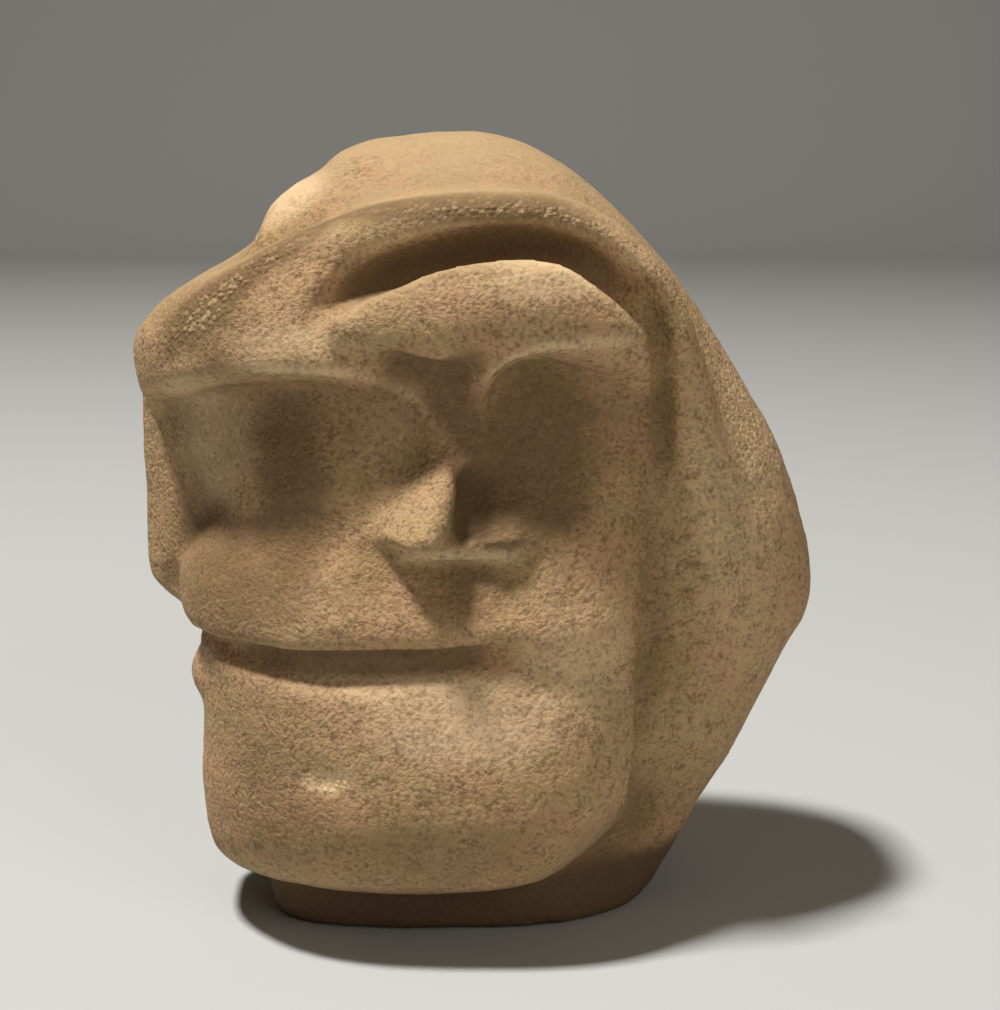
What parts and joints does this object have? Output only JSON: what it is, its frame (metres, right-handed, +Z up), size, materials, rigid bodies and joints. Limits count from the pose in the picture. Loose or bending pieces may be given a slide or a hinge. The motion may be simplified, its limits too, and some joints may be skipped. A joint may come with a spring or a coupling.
{
  "type": "two-faced sandstone figurine",
  "caption": "Palm-sized sandstone pebble carved with two joined stylised faces under a rolled hood, standing on its own flat cut foot.",
  "frame": {"origin": "on the flat underside of the foot, under the middle of the stone's box", "axes": "+Z up, the broad face looks along -Y, the narrow edge with the second face looks along -X"},
  "size_m": [0.0704, 0.0478, 0.08],
  "materials": {
    "sandstone": "dry, matt and finely grained, worn pale and gritty on the crests, browner in the hollows"
  },
  "bodies": {
    "root": {"figurine": "sandstone"}
  },
  "joints": []
}
